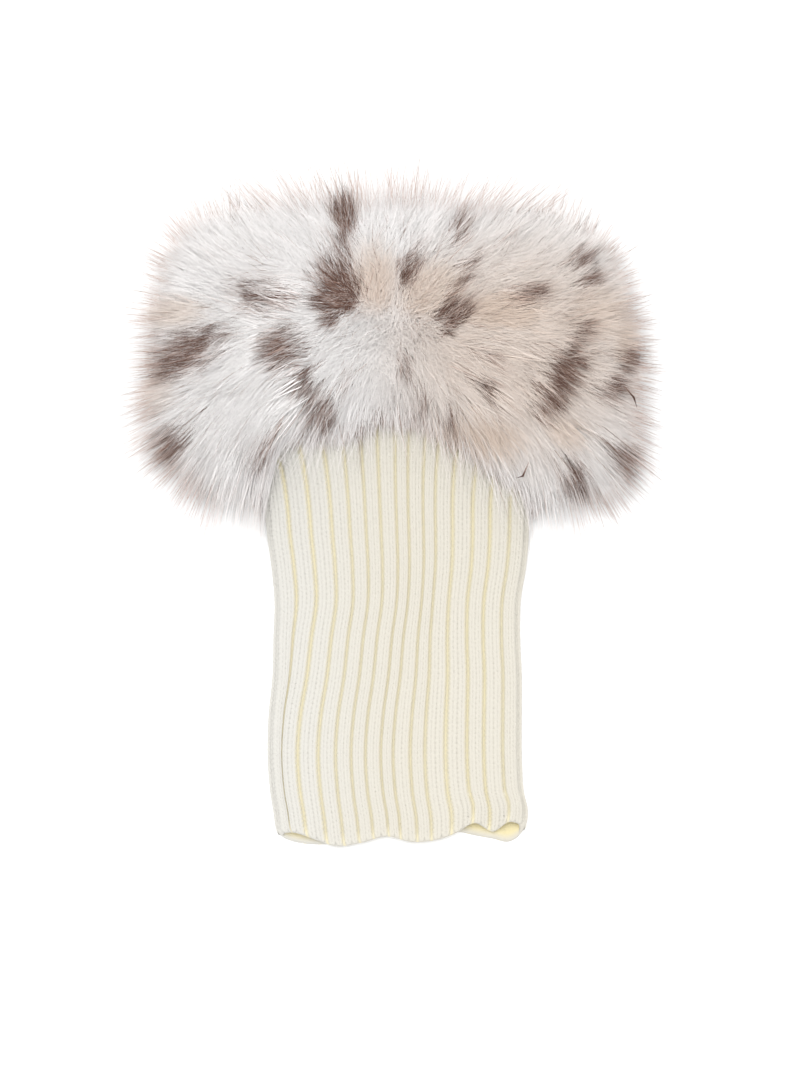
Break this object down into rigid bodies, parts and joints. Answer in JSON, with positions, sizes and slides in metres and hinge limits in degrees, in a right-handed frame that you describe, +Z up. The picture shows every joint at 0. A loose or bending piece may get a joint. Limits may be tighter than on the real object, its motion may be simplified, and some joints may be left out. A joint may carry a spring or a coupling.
{
  "type": "knitted boot cuff with faux fur band",
  "caption": "Ribbed knitted tube with a long-pile faux fur band round its top, laid flat; worn over the calf so that the fur shows at the top of a boot.",
  "frame": {"origin": "on the surface that the cuff lies on, under the middle of its outline", "axes": "+Y from the knitted hem to the fur's top, +Z up out of the front, +X to the right as seen from the front"},
  "size_m": [0.156, 0.2006, 0.0408],
  "materials": {
    "rib_knit": "cream ribbed acrylic knit",
    "faux_fur": "long white pile with brown spots and beige patches"
  },
  "bodies": {
    "root": {"knit_tube": "rib_knit", "fur_band": "faux_fur"}
  },
  "joints": []
}
